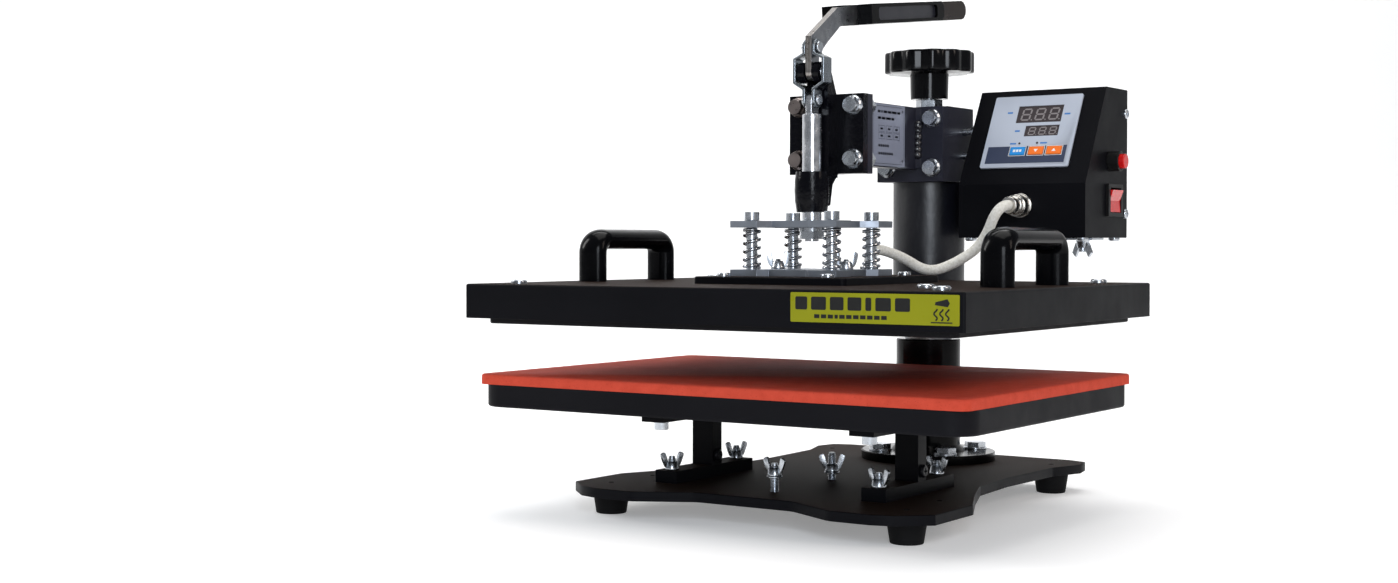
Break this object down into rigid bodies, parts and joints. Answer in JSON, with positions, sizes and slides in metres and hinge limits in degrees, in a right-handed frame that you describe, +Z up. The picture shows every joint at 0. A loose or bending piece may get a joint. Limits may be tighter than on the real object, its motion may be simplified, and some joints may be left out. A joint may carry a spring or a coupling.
{
  "type": "swing-away heat press",
  "caption": "Swing-away flat heat press with toggle lever, turning column, sprung heat platen, red pad and digital control box.",
  "frame": {"origin": "on the bench, straight under the centre of the silicone pad", "axes": "+X to the operator's right, +Y away from the operator towards the column, +Z up"},
  "size_m": [0.3856, 0.4247, 0.396],
  "materials": {
    "powder_black": "fine textured black powder coat",
    "platen_cast": "cast aluminium under fine textured black powder coat",
    "block_dark": "cast aluminium with a dark non-stick coating",
    "cast_black": "coarse textured black paint",
    "zinc": "bright zinc plating",
    "steel": "plain sheet steel",
    "chrome": "polished",
    "nickel": "satin nickel",
    "aluminium": "satin",
    "rubber_black": "matt moulded rubber",
    "silicone_red": "open pored silicone foam",
    "plastic_gloss": "glossy black",
    "plastic_matt": "matt black",
    "film_pale": "satin printed film",
    "film_navy": "satin printed film",
    "key_blue": "satin",
    "key_orange": "satin",
    "window_dark": "dark tinted window",
    "plastic_red": "glossy red",
    "braid_white": "braided glass fibre sleeve",
    "wool_white": "ceramic fibre blanket",
    "film_yellow": "satin printed film"
  },
  "bodies": {
    "base": {"base_plate": "powder_black", "rubber_feet": "rubber_black", "foot_screws": "zinc", "column_base": "powder_black", "flange_bolts": "zinc", "platen_supports": "powder_black", "base_studs": "zinc", "base_wing_nuts": "zinc", "support_screws": "zinc", "lower_platen": "platen_cast", "silicone_pad": "silicone_red"},
    "post": {"column_post": "steel"},
    "head": {"column_sleeve": "powder_black", "head_block": "powder_black", "head_arm": "powder_black", "arm_bolts": "zinc", "name_plate": "aluminium", "toggle_casting": "cast_black", "pivot_pin": "zinc", "height_nut": "zinc", "control_box": "powder_black", "control_box_back": "powder_black", "box_fixings": "zinc", "box_bracket": "zinc", "fascia": "film_pale", "key_strip": "film_navy", "displays": "window_dark", "cable_plug": "nickel", "button_bezel": "plastic_matt", "switch_frame": "plastic_matt", "mains_gland": "plastic_matt"},
    "knob": {"pressure_knob": "plastic_gloss", "pressure_screw": "zinc"},
    "lever": {"lever_leaves": "steel", "lever_grip": "plastic_gloss", "link_rivet_top": "zinc"},
    "links": {"links": "zinc", "link_rivets_low": "zinc"},
    "plunger": {"plunger": "chrome", "plunger_nut": "zinc", "spring_plate_top": "zinc"},
    "platen": {"spring_plate_lower": "zinc", "shoulder_screws": "zinc", "springs": "zinc", "plate_wing_nuts": "zinc", "pan_screws": "zinc", "adapter_plate": "powder_black", "platen_cover": "powder_black", "heating_block": "block_dark", "insulation": "wool_white", "warning_label": "film_yellow", "handle_left": "powder_black", "handle_right": "powder_black", "cable_gland": "plastic_matt", "heater_cable": "braid_white"},
    "button": {"timer_button": "plastic_red"},
    "rocker": {"power_rocker": "plastic_red"},
    "set_key": {"key_set": "key_blue"},
    "down_key": {"key_down": "key_orange"},
    "up_key": {"key_up": "key_orange"}
  },
  "joints": [
    {"name": "swing", "type": "hinge", "parent": "base", "child": "post", "pos_m": [0, 0.203, 0.12], "axis": [0, 0, 1], "range_deg": [-180, 180]},
    {"name": "height", "type": "slide", "parent": "post", "child": "head", "axis": [0, 0, 1], "range_m": [0, 0.008]},
    {"name": "knob_turn", "type": "hinge", "parent": "head", "child": "knob", "pos_m": [0, 0.203, 0.34], "axis": [0, 0, 1], "range_deg": [0, 1440.1]},
    {"name": "lever", "type": "hinge", "parent": "head", "child": "lever", "pos_m": [0, 0.009, 0.32], "axis": [1, 0, 0], "range_deg": [0, 180]},
    {"name": "link_pivot", "type": "hinge", "parent": "lever", "child": "links", "pos_m": [0, 0.009, 0.33815], "axis": [1, 0, 0], "range_deg": [-180, 0]},
    {"name": "plunger", "type": "slide", "parent": "head", "child": "plunger", "axis": [0, 0, 1], "range_m": [-0.0363, 0]},
    {"name": "float", "type": "slide", "parent": "plunger", "child": "platen", "axis": [0, 0, 1], "range_m": [0, 0.004], "stiffness_N_per_m": 40000, "springref_m": -0.005, "deforming": ["springs"]},
    {"name": "button_press", "type": "slide", "parent": "head", "child": "button", "axis": [-1, 0, 0], "range_m": [0, 0.003], "stiffness_N_per_m": 400, "springref_m": -0.003},
    {"name": "rocker_tilt", "type": "hinge", "parent": "head", "child": "rocker", "pos_m": [0.1415, 0.2285, 0.2295], "axis": [0, -1, 0], "range_deg": [0, 16]},
    {"name": "set_key_press", "type": "slide", "parent": "head", "child": "set_key", "axis": [0, 0.8664, -0.4994], "range_m": [0, 0.0006], "stiffness_N_per_m": 600, "springref_m": -0.0008},
    {"name": "down_key_press", "type": "slide", "parent": "head", "child": "down_key", "axis": [0, 0.8664, -0.4994], "range_m": [0, 0.0006], "stiffness_N_per_m": 600, "springref_m": -0.0008},
    {"name": "up_key_press", "type": "slide", "parent": "head", "child": "up_key", "axis": [0, 0.8664, -0.4994], "range_m": [0, 0.0006], "stiffness_N_per_m": 600, "springref_m": -0.0008}
  ],
  "couplings": [
    {"joint": "knob_turn", "follows": "height", "rad_per_m": 3141.6},
    {"joint": "link_pivot", "follows": "lever", "ratio": -1},
    {"joint": "plunger", "follows": "lever", "m_per_rad": -0.011555}
  ]
}
